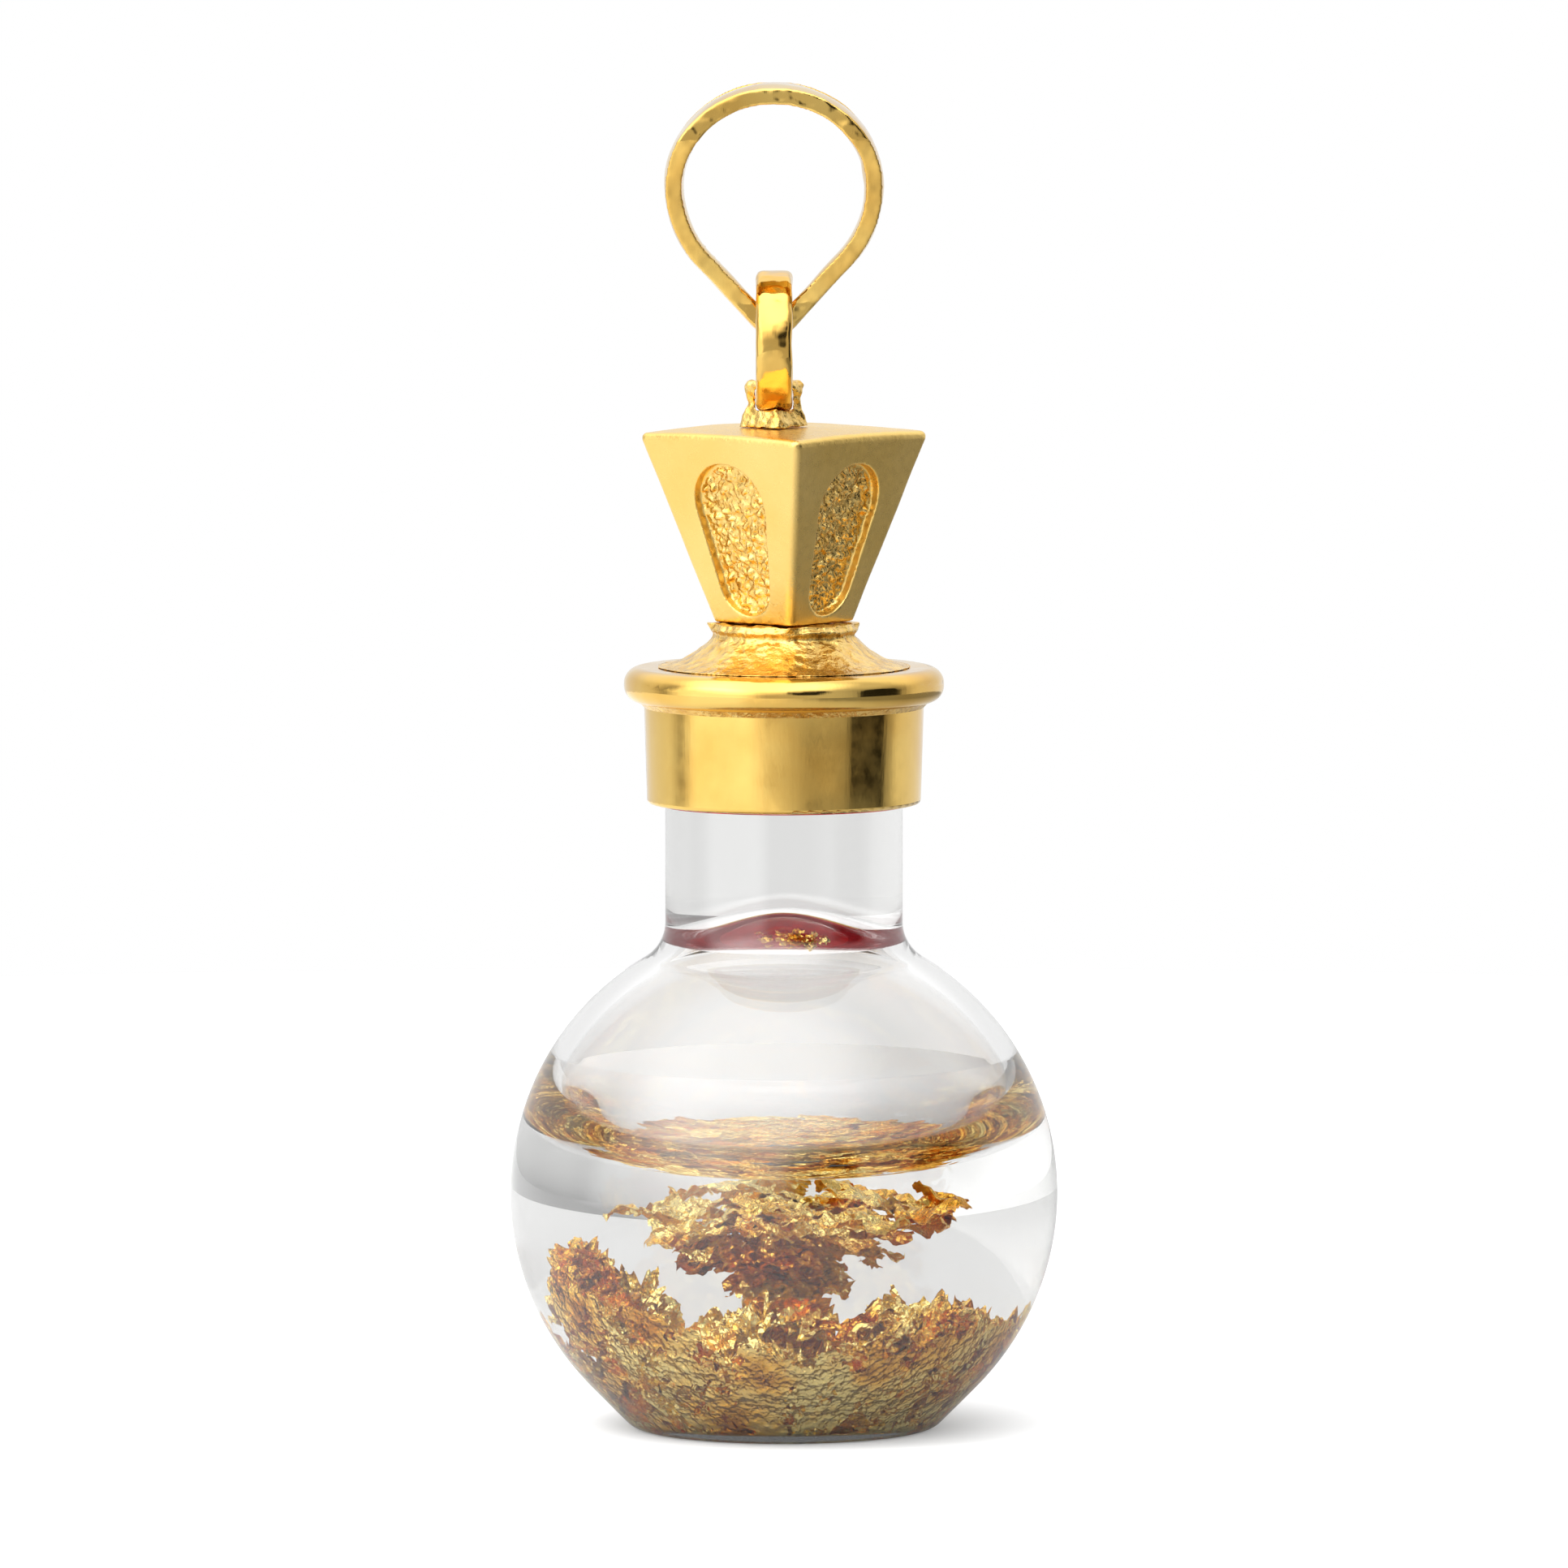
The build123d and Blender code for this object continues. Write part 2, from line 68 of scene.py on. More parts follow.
GLOBE_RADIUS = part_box("flask")[1].y / MM
GLOBE_HEIGHT = 6.03
WALL = 0.5
FOOT_THICKNESS = 0.4
FOOT_CORNER = 0.6
NECK_RADIUS = 3.03
NECK_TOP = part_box("flask")[1].z / MM
SHOULDER_RADIUS = 1.1
PLUG_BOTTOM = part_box("stopper")[0].z / MM
FOOT_CONE_SLOPE = math.radians(45)  # where the globe turns into the cone above the foot
FLOOR_POINTS = 6
NECK_POINTS = 6
LAP = 0.004  # the liquid's skin lies this deep in the glass, so that no air gap shows


def arc(centre, radius, start, end, steps):
    """Points along a circular arc, in (radius, height) pairs."""
    turn = (end - start) / steps
    return [
        (centre[0] + radius * math.cos(start + turn * i), centre[1] + radius * math.sin(start + turn * i))
        for i in range(steps + 1)
    ]


def flask_outline(inset, floor, top):
    """The flask's outline from the axis to the top of the neck, moved inwards by inset."""
    globe = GLOBE_RADIUS - inset
    neck = NECK_RADIUS - inset
    shoulder = SHOULDER_RADIUS + inset
    corner = FOOT_CORNER - inset / 2
    slope = FOOT_CONE_SLOPE
    cone_top = (globe * math.cos(slope), GLOBE_HEIGHT - globe * math.sin(slope))
    foot = cone_top[0] - (cone_top[1] - floor) * math.tan(slope)
    run = corner * math.tan((math.pi / 2 - slope) / 2)
    shoulder_height = GLOBE_HEIGHT + math.sqrt((globe + shoulder) ** 2 - (neck + shoulder) ** 2)
    lean = math.atan2(shoulder_height - GLOBE_HEIGHT, neck + shoulder)
    points = [((foot - run) * i / FLOOR_POINTS, floor) for i in range(FLOOR_POINTS)]
    points += arc((foot - run, floor + corner), corner, -math.pi / 2, -slope, 8)
    points += arc((0, GLOBE_HEIGHT), globe, -slope, lean, 72)
    points += arc((neck + shoulder, shoulder_height), shoulder, lean + math.pi, math.pi, 16)[1:]
    rise = top - shoulder_height
    points += [(neck, shoulder_height + rise * i / NECK_POINTS) for i in range(1, NECK_POINTS + 1)]
    return points


def wall_radius(height):
    """Radius of the flask's inner wall at a height, for numbers or arrays."""
    return np.interp(height, INNER_HEIGHTS, INNER_RADII)


INNER = flask_outline(WALL, FOOT_THICKNESS, NECK_TOP)
INNER_RADII = np.array([point[0] for point in INNER[FLOOR_POINTS - 1 :]])
INNER_HEIGHTS = np.array([point[1] for point in INNER[FLOOR_POINTS - 1 :]])


# ---- mesh helpers ----------------------------------------------------------------------------------


def add_piece(name, mesh, material, body, smooth):
    """Puts a mesh in the frame, riding on a body, with its material."""
    mesh.polygons.foreach_set("use_smooth", [smooth] * len(mesh.polygons))
    mesh.materials.append(material)
    piece = bpy.data.objects.new(name, mesh)
    scene.collection.objects.link(piece)
    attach(piece, body)
    return piece


def new_piece(name, vertices, faces, material, body=ROOT, smooth=True):
    """A piece made from points in metres and faces."""
    mesh = bpy.data.meshes.new(name)
    mesh.from_pydata(vertices, [], faces)
    return add_piece(name, mesh, material, body, smooth)


SHARP_ANGLE = math.radians(30)  # an edge turned further than this isn't shaded as one smooth surface
ON_AXIS = 1e-6


def lathe(name, outline, material, segments=256):
    """A closed solid of revolution from (radius, height) pairs that begin and end on the axis."""
    work = bmesh.new()
    rings = []
    for radius, height in outline:
        if radius < ON_AXIS:
            rings.append([work.verts.new((0, 0, height * MM))])
            continue
        ring = []
        for step in range(segments):
            angle = 2 * math.pi * step / segments
            x, y = radius * MM * math.cos(angle), radius * MM * math.sin(angle)
            ring.append(work.verts.new((x, y, height * MM)))
        rings.append(ring)
    for low, high in zip(rings, rings[1:]):
        for step in range(segments):
            after = (step + 1) % segments
            if len(low) == 1:
                work.faces.new((low[0], high[after], high[step]))
            elif len(high) == 1:
                work.faces.new((low[step], low[after], high[0]))
            else:
                work.faces.new((low[step], low[after], high[after], high[step]))
    bmesh.ops.recalc_face_normals(work, faces=work.faces)
    for edge in work.edges:
        edge.smooth = edge.calc_face_angle(0) < SHARP_ANGLE
    mesh = bpy.data.meshes.new(name)
    work.to_mesh(mesh)
    work.free()
    return add_piece(name, mesh, material, ROOT, True)


# ---- material helpers ------------------------------------------------------------------------------


def new_material(name, colour, roughness, metallic=0.0):
    """A Principled material and its shader node."""
    material = bpy.data.materials.new(name)
    material.use_nodes = True
    shader = material.node_tree.nodes["Principled BSDF"]
    shader.inputs["Base Color"].default_value = (*colour, 1)
    shader.inputs["Roughness"].default_value = roughness
    shader.inputs["Metallic"].default_value = metallic
    return material, shader


def object_noise(material, scale, detail=4.0, stretch=(1, 1, 1)):
    """Noise in the object's own space; scale is in waves per metre."""
    nodes, links = material.node_tree.nodes, material.node_tree.links
    place = nodes.new("ShaderNodeTexCoord")
    mapping = nodes.new("ShaderNodeMapping")
    mapping.inputs["Scale"].default_value = stretch
    pattern = nodes.new("ShaderNodeTexNoise")
    pattern.inputs["Scale"].default_value = scale
    pattern.inputs["Detail"].default_value = detail
    links.new(place.outputs["Object"], mapping.inputs["Vector"])
    links.new(mapping.outputs["Vector"], pattern.inputs["Vector"])
    return pattern.outputs["Fac"]


def object_creases(material, scale):
    """Crumpled foil in the object's own space: flat facets between creases; scale is in cells per metre."""
    nodes, links = material.node_tree.nodes, material.node_tree.links
    place = nodes.new("ShaderNodeTexCoord")
    cells = nodes.new("ShaderNodeTexVoronoi")
    cells.inputs["Scale"].default_value = scale
    links.new(place.outputs["Object"], cells.inputs["Vector"])
    return cells.outputs["Distance"]


def add_bump(material, shader, height, distance, strength=1.0):
    """Chains one more bump on to the shader's normal."""
    nodes, links = material.node_tree.nodes, material.node_tree.links
    bump = nodes.new("ShaderNodeBump")
    bump.inputs["Distance"].default_value = distance
    bump.inputs["Strength"].default_value = strength
    links.new(height, bump.inputs["Height"])
    if shader.inputs["Normal"].links:
        links.new(shader.inputs["Normal"].links[0].from_socket, bump.inputs["Normal"])
    links.new(bump.outputs["Normal"], shader.inputs["Normal"])


def add_ramp(material, factor, stops, target):
    """Feeds a colour ramp of (place, colour) stops into a socket."""
    nodes, links = material.node_tree.nodes, material.node_tree.links
    ramp = nodes.new("ShaderNodeValToRGB")
    while len(ramp.color_ramp.elements) < len(stops):
        ramp.color_ramp.elements.new(0.5)
    for element, (place, colour) in zip(ramp.color_ramp.elements, stops):
        element.position = place
        element.color = (*colour, 1)
    links.new(factor, ramp.inputs["Fac"])
    links.new(ramp.outputs["Color"], target)


def grey(value):
    """A colour with the same red, green and blue."""
    return (value, value, value)


# ---- materials -------------------------------------------------------------------------------------

GOLD = (0.80, 0.54, 0.15)
GOLD_DEEP = (0.68, 0.39, 0.08)
GOLD_PALE = (0.86, 0.61, 0.21)
# The leaf's darkest and palest colours are painted shade and painted highlights.
LEAF_PAINTED_SHADE = (0.6, 0.23, 0.015)
LEAF_MIDDLE = (1.0, 0.57, 0.09)
LEAF_PAINTED_HIGHLIGHT = (1.0, 0.79, 0.29)
RUBBER_RED = (0.75, 0.015, 0.025)
SEALANT_RED = (0.5, 0.02, 0.03)
PAINTED_RED_GLOW = 0.22  # painted glow: emission that stands for light passing through the red parts
GLASS_TINT = (0.915, 0.915, 0.91)
GLASS_INDEX = 1.5
LIQUID_INDEX = 1.4


def polished_gold():
    """Hand-polished gold: soft upright waves, hairline scratches and dull cloudy patches."""
    material, shader = new_material("polished_gold_look", GOLD, 0.1, 1.0)
    clouds = object_noise(material, 350, 3)
    add_ramp(material, clouds, [(0.3, GOLD_DEEP), (0.6, GOLD)], shader.inputs["Base Color"])
    grain = object_noise(material, 2600, 5)
    add_ramp(material, grain, [(0.35, grey(0.07)), (0.75, grey(0.17))], shader.inputs["Roughness"])
    add_bump(material, shader, object_noise(material, 620, 2, (1, 1, 0.12)), 0.00003, 0.7)
    add_bump(material, shader, object_noise(material, 9000, 3, (1, 1, 0.12)), 0.000002)
    return material


def satin_gold():
    """Brushed-off satin gold with fine pits."""
    material, shader = new_material("satin_gold_look", GOLD, 0.3, 1.0)
    clouds = object_noise(material, 420, 4)
    add_ramp(material, clouds, [(0.3, GOLD), (0.7, GOLD_PALE)], shader.inputs["Base Color"])
    grain = object_noise(material, 5200, 5)
    add_ramp(material, grain, [(0.3, grey(0.24)), (0.75, grey(0.4))], shader.inputs["Roughness"])
    add_bump(material, shader, clouds, 0.00008, 0.4)
    add_bump(material, shader, object_noise(material, 14000, 4), 0.000006)
    return material


def cast_gold():
    """Gold left as cast and soldered: lumpy, with bright smears of solder."""
    material, shader = new_material("cast_gold_look", GOLD_DEEP, 0.2, 1.0)
    lumps = object_noise(material, 2600, 5)
    add_ramp(material, lumps, [(0.3, GOLD_DEEP), (0.65, GOLD_PALE)], shader.inputs["Base Color"])
    add_ramp(material, lumps, [(0.3, grey(0.12)), (0.7, grey(0.32))], shader.inputs["Roughness"])
    add_bump(material, shader, lumps, 0.00009)
    add_bump(material, shader, object_noise(material, 9000, 4), 0.00002)
    return material


def stippled_gold():
    """The bright floors of the finial's panels, punched all over."""
    material, shader = new_material("stippled_gold_look", GOLD, 0.16, 1.0)
    dots = object_noise(material, 5200, 4)
    add_ramp(material, dots, [(0.35, GOLD_DEEP), (0.62, GOLD_PALE)], shader.inputs["Base Color"])
    add_bump(material, shader, dots, 0.00006)
    return material


def leaf_gold():
    """Gold leaf: very thin, bright, wrinkled all over, with painted shade and painted highlights in random
    patches of its colour.
    """
    material, shader = new_material("gold_leaf_look", GOLD, 0.26, 1.0)
    patches = object_noise(material, 560, 6)
    # painted shade and painted highlights: random patches run from dark red-brown through gold to pale gold
    stops = [(0.34, LEAF_PAINTED_SHADE), (0.44, LEAF_MIDDLE), (0.57, LEAF_PAINTED_HIGHLIGHT)]
    add_ramp(material, patches, stops, shader.inputs["Base Color"])
    for cells, depth in ((3300, 0.00007), (8000, 0.000035)):
        add_bump(material, shader, object_creases(material, cells), depth)
    add_bump(material, shader, object_noise(material, 3600, 6), 0.00005)
    return material


def clear_glass(name, index, tint=(1, 1, 1)):
    """A clear medium with a refractive index, for the flask or the liquid."""
    material, shader = new_material(name, tint, 0.0)
    shader.inputs["IOR"].default_value = index
    shader.inputs["Transmission Weight"].default_value = 1.0
    return material, shader


def flask_glass():
    """Fire-polished glass with faint unevenness from blowing."""
    material, shader = clear_glass("flask_glass_look", GLASS_INDEX, GLASS_TINT)
    add_bump(material, shader, object_noise(material, 260, 2, (1, 1, 0.5)), 0.00002, 0.35)
    return material


def liquid_look():
    """Clear liquid, very slightly uneven."""
    material, shader = clear_glass("liquid_look", LIQUID_INDEX)
    add_bump(material, shader, object_noise(material, 150, 1), 0.00001, 0.2)
    return material


def red_compound(name, roughness, colour):
    """Deep red rubber or sealant with a mottled, slightly glossy surface and a painted glow."""
    material, shader = new_material(name, colour, roughness)
    dark = tuple(0.35 * part for part in colour)
    mottle = object_noise(material, 2200, 4)
    add_ramp(material, mottle, [(0.35, dark), (0.65, colour)], shader.inputs["Base Color"])
    # painted glow: the red parts give out light of their own colour
    shader.inputs["Emission Color"].default_value = (*colour, 1)
    shader.inputs["Emission Strength"].default_value = PAINTED_RED_GLOW
    shader.inputs["Subsurface Weight"].default_value = 0.15
    shader.inputs["Subsurface Radius"].default_value = (0.0006, 0.0001, 0.0001)
    add_bump(material, shader, object_noise(material, 5000, 4), 0.00002)
    return material


polished = polished_gold()
satin = satin_gold()
cast = cast_gold()
stippled = stippled_gold()
leaf = leaf_gold()
glass = flask_glass()
liquid = liquid_look()
rubber = red_compound("red_rubber_look", 0.35, RUBBER_RED)
compound = red_compound("red_sealant_look", 0.2, SEALANT_RED)

for node_name, look in {
    "collar": polished,
    "flange": polished,
    "loop_ring": polished,
    "finial": satin,
    "pedestal": cast,
    "loop_boss": cast,
    "collar_seam": cast,
    "bail": polished,
    "stopper": rubber,
    "sealant": compound,
}.items():
    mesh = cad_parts[node_name].data
    for slot_index in range(len(mesh.materials)):
        mesh.materials[slot_index] = look


# ---- flask and liquid ------------------------------------------------------------------------------

POOL_EDGE = 9.4  # height at which the pool's surface leaves the glass
POOL_DIP = 6.45  # height of its lowest point, in the middle
POOL_CURL = 2.4  # how far the surface follows the glass before it turns in
POOL_FLAT = 4.5  # how far its flat middle reaches
DOME_EDGE = 12.3  # the same four sizes for the surface under the neck's liquid, which bulges up
DOME_TOP = 13.42
DOME_CURL = 0.3
DOME_FLAT = 1.0
CONTACT_ANGLE = math.radians(7)
POOL_JOIN = 0.03  # the wall's last point lies at least this far from where a surface starts
DOME_JOIN = 0.02
WALL_STEP = 0.1  # height over which the wall's slope is read


def bezier(start, first, second, end, steps):
    """Points along a cubic curve, in (radius, height) pairs."""
    points = []
    for step in range(steps + 1):
        t = step / steps
        weights = ((1 - t) ** 3, 3 * t * (1 - t) ** 2, 3 * t * t * (1 - t), t**3)
        corners = (start, first, second, end)
        points.append(tuple(sum(w * corner[i] for w, corner in zip(weights, corners)) for i in (0, 1)))
    return points


def wall_start(height, skin, inward):
    """The point of the skin at a height, and the way down along it, turned inward by an angle."""
    upper = skin[FLOOR_POINTS - 1 :]
    heights = [point[1] for point in upper]
    radii = [point[0] for point in upper]
    here = float(np.interp(height, heights, radii))
    below = float(np.interp(height - WALL_STEP, heights, radii))
    heading = math.atan2(-WALL_STEP, below - here) - inward
    return (here, height), (math.cos(heading), math.sin(heading))


def pool_outline():
    """The pool: the inner wall up to the top edge, then the surface, tangent to the wet glass."""
    skin = flask_outline(WALL - LAP, FOOT_THICKNESS - LAP, NECK_TOP)
    edge, way = wall_start(POOL_EDGE, skin, CONTACT_ANGLE)
    turn = (edge[0] + POOL_CURL * way[0], edge[1] + POOL_CURL * way[1])
    surface = bezier(edge, turn, (POOL_FLAT, POOL_DIP), (0, POOL_DIP), 72)
    return [point for point in skin if point[1] < POOL_EDGE - POOL_JOIN] + surface


def neck_liquid_outline():
    """The liquid held in the neck, from the dome's crown to the stopper."""
    skin = flask_outline(WALL - LAP, FOOT_THICKNESS - LAP, PLUG_BOTTOM)
    edge, way = wall_start(DOME_EDGE, skin, -CONTACT_ANGLE)
    turn = (edge[0] - DOME_CURL * way[0], edge[1] - DOME_CURL * way[1])
    dome = bezier((0, DOME_TOP), (DOME_FLAT, DOME_TOP), turn, edge, 48)
    return dome + [point for point in skin if point[1] > DOME_EDGE + DOME_JOIN] + [(0, PLUG_BOTTOM)]


outside = flask_outline(0, 0, NECK_TOP)
flask_skin = lathe("flask_blown", outside + list(reversed(INNER)), glass)
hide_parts("flask")
pool = lathe("liquid_pool_clear", pool_outline(), liquid)
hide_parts("liquid_pool")
neck_pool = lathe("liquid_neck_clear", neck_liquid_outline(), liquid)
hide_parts("liquid_neck")


# ---- hand-finished gold: soft edges, lumps, cut marks and stippled panels ----------------------------


def reworked(name, node, voxel, rounds, move, body=ROOT):
    """A finely meshed, softened copy of a CAD part; move(point, normal) gives each point's shift."""
    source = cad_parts[node]
    draft = source.copy()
    draft.data = source.data.copy()
    scene.collection.objects.link(draft)
    remesh = draft.modifiers.new("remesh", "REMESH")
    remesh.mode = "VOXEL"
    remesh.voxel_size = voxel * MM
    soften = draft.modifiers.new("soften", "SMOOTH")
    soften.iterations = rounds
    depsgraph = bpy.context.evaluated_depsgraph_get()
    fine = bpy.data.meshes.new_from_object(draft.evaluated_get(depsgraph))
    fine.transform(draft.matrix_world)
    low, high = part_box(node)
    vertices = []
    for vertex in fine.vertices:
        point = vertex.co / MM
        point = point + vertex.normal * move(point, vertex.normal)
        vertices.append([min(max(part * MM, a), b) for part, a, b in zip(point, low, high)])
    faces = [tuple(face.vertices) for face in fine.polygons]
    look = source.data.materials[0]
    bpy.data.objects.remove(draft)
    piece = new_piece(name, vertices, faces, look, body)
    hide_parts(node)
    return piece


def rough(point, wavelength, seed=0.0):
    """Signed noise at a point, about one wave per wavelength in millimetres."""
    return noise.noise(point / wavelength + Vector((seed, 0, 0)))


CAST_SMOOTH_BELOW = 20.1  # the pedestal's flare is smoother than the rest


def cast_surface(point, normal):
    """Lumps and pits left by casting and soldering."""
    depth = 0.45 + 0.55 * min(1.0, max(0.0, (point.z - CAST_SMOOTH_BELOW) / 0.2))
    return depth * (0.05 * rough(point, 0.42) + 0.035 * rough(point, 0.17, 9) - 0.03)


def ring_surface(point, normal):
    """The faint unevenness of a hand-filed ring."""
    return 0.035 * rough(point, 0.7) + 0.01 * rough(point, 0.25, 4) - 0.01


BAIL_TAPER = (28.8, 33.0)  # heights between which the strip widens from front to back
BAIL_HALF_DEPTHS = (0.42, 1.7)


def bail_surface(point, normal):
    """Faces that curve in towards the front and back edges, which are rough from cutting."""
    edge = min(1.0, abs(point.y) / float(np.interp(point.z, BAIL_TAPER, BAIL_HALF_DEPTHS)))
    cut = max(0.0, abs(normal.y) - 0.45) / 0.55
    face = 0.03 * rough(point, 1.1) - 0.14 * edge**2.5 * (1 - abs(normal.y))
    return face + cut * (0.012 * rough(point, 0.24) + 0.02 * rough(point, 0.6, 7)) - 0.01


FINIAL_TURN = math.radians(50)
FINIAL_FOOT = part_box("finial")[0].z / MM
FINIAL_FOOT_REACH = 1.3  # from the axis to the middle of a face
FINIAL_SPREAD = 1.375  # how far a face leans out over its height
FINIAL_HEIGHT = 4.84
FINIAL_LEAN = math.atan2(FINIAL_SPREAD, FINIAL_HEIGHT)
PANEL_FOOT_HEIGHT = 21.65
PANEL_CLIMB = 2.05  # height between the centres of a panel's two round ends
PANEL_RISE = PANEL_CLIMB / math.cos(FINIAL_LEAN)
PANEL_FOOT_RADIUS = 0.8
PANEL_HEAD_RADIUS = 1.12
PANEL_DEPTH = 0.26
PANEL_RIM = 0.12  # width over which the stippling fades out
SUNK_SHARE = 0.55  # a point is on the floor when it is sunk by this share of the depth
NEAR_SHARE = 0.6  # nearer the axis than this share of the face, a point belongs to another face
STIPPLED_ABOVE = 0.3


def panel_share(point):
    """1 on the sunk floor of a panel, 0 away from it."""
    for quarter in range(4):
        turn = FINIAL_TURN + quarter * math.pi / 2
        outward = point.x * math.cos(turn) + point.y * math.sin(turn)
        sideways = point.y * math.cos(turn) - point.x * math.sin(turn)
        face = FINIAL_FOOT_REACH + (point.z - FINIAL_FOOT) * math.tan(FINIAL_LEAN)
        if outward < NEAR_SHARE * face or outward > face - SUNK_SHARE * PANEL_DEPTH:
            continue
        rise = (point.z - PANEL_FOOT_HEIGHT) / math.cos(FINIAL_LEAN)
        along = min(max(rise / PANEL_RISE, 0), 1)
        radius = PANEL_FOOT_RADIUS + along * (PANEL_HEAD_RADIUS - PANEL_FOOT_RADIUS)
        inside = radius - math.hypot(sideways, rise - along * PANEL_RISE)
        if inside > 0:
            return min(1.0, inside / PANEL_RIM)
    return 0.0


def finial_surface(point, normal):
    """Satin faces with a little waviness, and stippling on the panels' floors."""
    stipple = abs(rough(point, 0.17)) * 0.13 + abs(rough(point, 0.3, 5)) * 0.1 - 0.05
    return 0.02 * rough(point, 1.3) - 0.005 + panel_share(point) * stipple


reworked("bail_cut_strip", "bail", voxel=0.04, rounds=14, move=bail_surface, body="bail")
reworked("loop_ring_filed", "loop_ring", voxel=0.04, rounds=24, move=ring_surface)
reworked("loop_boss_cast", "loop_boss", voxel=0.03, rounds=4, move=cast_surface)
reworked("pedestal_cast", "pedestal", voxel=0.04, rounds=3, move=cast_surface)
finial = reworked("finial_satin", "finial", voxel=0.045, rounds=5, move=finial_surface)
finial.data.materials.append(stippled)
for face in finial.data.polygons:
    face.material_index = int(panel_share(face.center / MM) > STIPPLED_ABOVE)


# ---- gold leaf: crumpled flakes with torn edges ------------------------------------------------------

GLASS_GAP = 0.03  # leaf stays this clear of the glass
GRAIN = 0.075  # spacing of a flake's mesh points
SPIN = 6.28  # a flake lies at any heading
FOLDS = ((1.3, 0.22), (0.62, 0.13), (0.33, 0.075), (0.19, 0.04))  # wavelength and depth


def flake_patch(draw, size, crumple):
    """One flake about the origin, lying flat: points (n, 3) in millimetres and triangles."""
    count = int(2 * size / GRAIN) + 2
    steps = np.linspace(-size, size, count)
    x, y = np.meshgrid(steps, steps)
    x = x + (np.arange(count) % 2)[:, None] * (steps[1] - steps[0]) / 2
    angle, reach = np.arctan2(y, x), np.hypot(x, y)
    edge = np.full_like(angle, 0.72)
    for wave in range(1, 7):
        edge = edge + 0.26 / wave * np.sin(wave * angle + draw.uniform(0, 2 * math.pi)) * draw.uniform(0.3, 1)
    aspect = draw.uniform(0.6, 1.0)
    keep = reach < size * np.clip(edge, 0.25, 1.0)
    z = draw.uniform(-0.25, 0.25) * (x**2 + draw.uniform(-1, 1) * y**2) / size
    for wavelength, depth in FOLDS:
        for _ in range(2):
            heading = draw.uniform(0, math.pi)
            phase = draw.uniform(0, 2 * math.pi)
            bend = draw.uniform(1.5, 4.0)
            along = x * math.cos(heading) + y * math.sin(heading)
            across = y * math.cos(heading) - x * math.sin(heading)
            fold = np.abs(np.sin(math.pi * along / wavelength + phase + 0.6 * np.sin(bend * across)))
            z = z + crumple * depth * (fold - 0.6)
    y = y * aspect
    points = np.stack([x, y, z], -1).reshape(-1, 3)
    index = np.arange(count * count).reshape(count, count)
    lower, upper = index[:-1], index[1:]
    odd = (np.arange(count - 1) % 2 == 1)[:, None]
    a, b, c, d = lower[:, :-1], lower[:, 1:], upper[:, :-1], upper[:, 1:]
    first = np.stack([a, b, np.where(odd, d, c)], -1).reshape(-1, 3)
    second = np.stack([np.where(odd, a, b), d, c], -1).reshape(-1, 3)
    triangles = np.concatenate([first, second])
    inside = keep.reshape(-1)
    return points, triangles[inside[triangles].all(1)]


def turned(points, normal, spin, centre):
    """Lays a patch at a centre with its face along a normal."""
    lay = Vector(normal).to_track_quat("Z", "Y").to_matrix() @ Matrix.Rotation(spin, 3, "Z")
    return points @ np.array(lay).T + np.array(centre)


def inside_glass(points):
    """Presses points that would pass through the glass back against it."""
    points[:, 2] = np.maximum(points[:, 2], FOOT_THICKNESS + GLASS_GAP)
    reach = np.hypot(points[:, 0], points[:, 1])
    limit = wall_radius(points[:, 2]) - GLASS_GAP
    shrink = np.minimum(1.0, limit / np.maximum(reach, 1e-9))
    points[:, :2] *= shrink[:, None]
    return points


def leaf_mass(name, flakes, node, body=ROOT):
    """Joins flakes of (points, triangles) into one piece that stands for a CAD node."""
    vertices, faces, offset = [], [], 0
    for points, triangles in flakes:
        used = np.unique(triangles)
        renumber = np.zeros(len(points), int)
        renumber[used] = np.arange(len(used)) + offset
        vertices.append(points[used] * MM)
        faces.append(renumber[triangles])
        offset += len(used)
    all_points = np.concatenate(vertices).tolist()
    all_triangles = np.concatenate(faces).tolist()
    piece = new_piece(name, all_points, all_triangles, leaf, body, False)
    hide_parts(node)
    return piece


BED_LEVEL = 1.95  # height of the bed in the middle, without its heaps
BED_DISH = 0.12  # how steeply it climbs towards the wall


def bed_height(x, y):
    """Height of the heap of leaf over a point of the foot."""
    height = BED_LEVEL + BED_DISH * math.hypot(x, y)
    for centre_x, centre_y, rise, spread in HEAPS:
        height += rise * math.exp(-((x - centre_x) ** 2 + (y - centre_y) ** 2) / spread**2)
    return height + 0.3 * noise.noise(Vector((x * 0.9, y * 0.9, 5.0)))


# Heaps in the bed, and hollows where the rise is negative: x, y, rise and spread.
HEAPS = (
    (-4.1, -2.5, 2.5, 1.6),
    (-2.9, -3.9, 1.1, 1.0),
    (-0.3, -1.3, 2.1, 1.5),
    (2.6, -3.3, 1.25, 1.15),
    (4.3, -2.6, 0.9, 1.2),
    (5.2, 0.4, 0.7, 1.6),
    (-1.0, 4.0, 0.6, 2.2),
    (-1.6, -4.4, -0.7, 0.9),
    (1.1, -4.6, -0.6, 0.7),
)


def heading_normal(draw, normal, spread):
    """A normal tipped at random from the one given."""
    tipped = Vector(normal) + spread * Vector((draw.normal(), draw.normal(), draw.normal()))
    return tipped.normalized()


def heap_normal(x, y):
    """The upward normal of the heap's surface."""
    step = 0.2
    slope_x = (bed_height(x + step, y) - bed_height(x - step, y)) / (2 * step)
    slope_y = (bed_height(x, y + step) - bed_height(x, y - step)) / (2 * step)
    return Vector((-slope_x, -slope_y, 1)).normalized()


